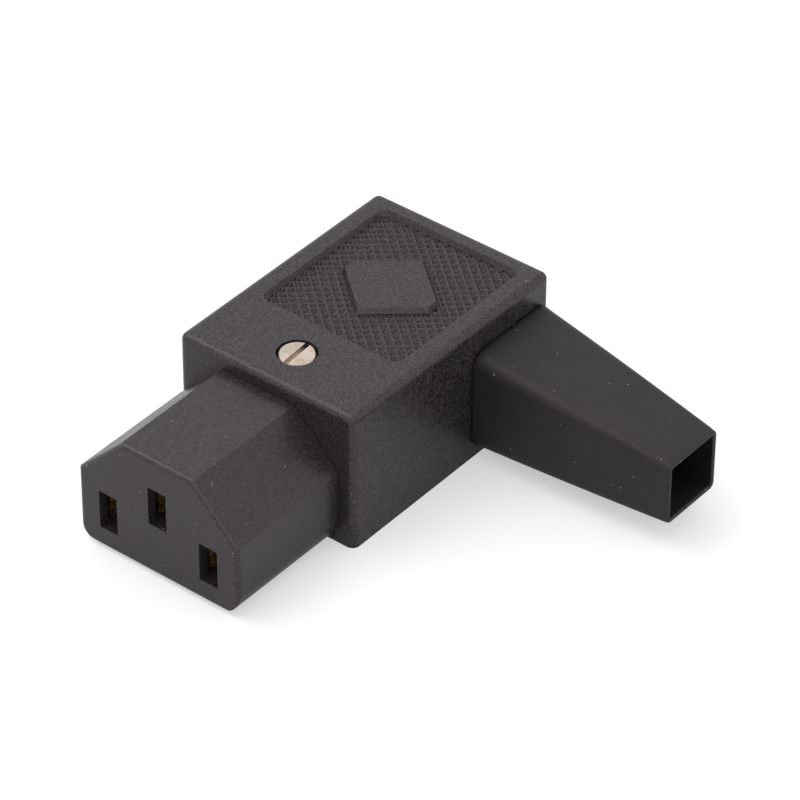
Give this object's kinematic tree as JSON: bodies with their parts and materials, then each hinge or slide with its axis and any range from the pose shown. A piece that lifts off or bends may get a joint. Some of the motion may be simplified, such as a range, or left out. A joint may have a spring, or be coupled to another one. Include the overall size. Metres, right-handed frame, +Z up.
{
  "type": "right-angle appliance connector",
  "caption": "Rewireable right-angle appliance connector: slotted contact nose, screwed box housing with a knurled grip panel, and a tapered square cable boot.",
  "frame": {"origin": "on the mating face of the nose, midway between the line and neutral slots", "axes": "-Y is the direction in which the nose plugs in, +X is the side where the cable leaves, +Z is up, from the line and neutral slots to the earth slot"},
  "size_m": [0.0503, 0.0508, 0.0177],
  "materials": {
    "shell_plastic": "fine spark texture, semi-gloss black",
    "carrier_plastic": "fine texture, semi-gloss black",
    "boot_rubber": "smooth matte black",
    "saddle_plastic": "moulded black",
    "contact_brass": "bright strip",
    "terminal_brass": "machined",
    "bush_brass": "turned",
    "plate_steel": "zinc plated",
    "screw_steel": "zinc plated",
    "cover_screw_nickel": "nickel plated, lightly worn"
  },
  "bodies": {
    "root": {"housing": "shell_plastic", "contact_carrier": "carrier_plastic", "cable_boot": "boot_rubber", "line_contact": "contact_brass", "neutral_contact": "contact_brass", "earth_contact": "contact_brass", "line_terminal": "terminal_brass", "neutral_terminal": "terminal_brass", "earth_terminal": "terminal_brass", "line_screw": "screw_steel", "neutral_screw": "screw_steel", "earth_screw": "screw_steel", "line_wire_plate": "plate_steel", "neutral_wire_plate": "plate_steel", "earth_wire_plate": "plate_steel", "cover_screw": "cover_screw_nickel", "threaded_bush": "bush_brass", "cord_saddle": "saddle_plastic", "front_saddle_screw": "screw_steel", "rear_saddle_screw": "screw_steel"}
  },
  "joints": []
}
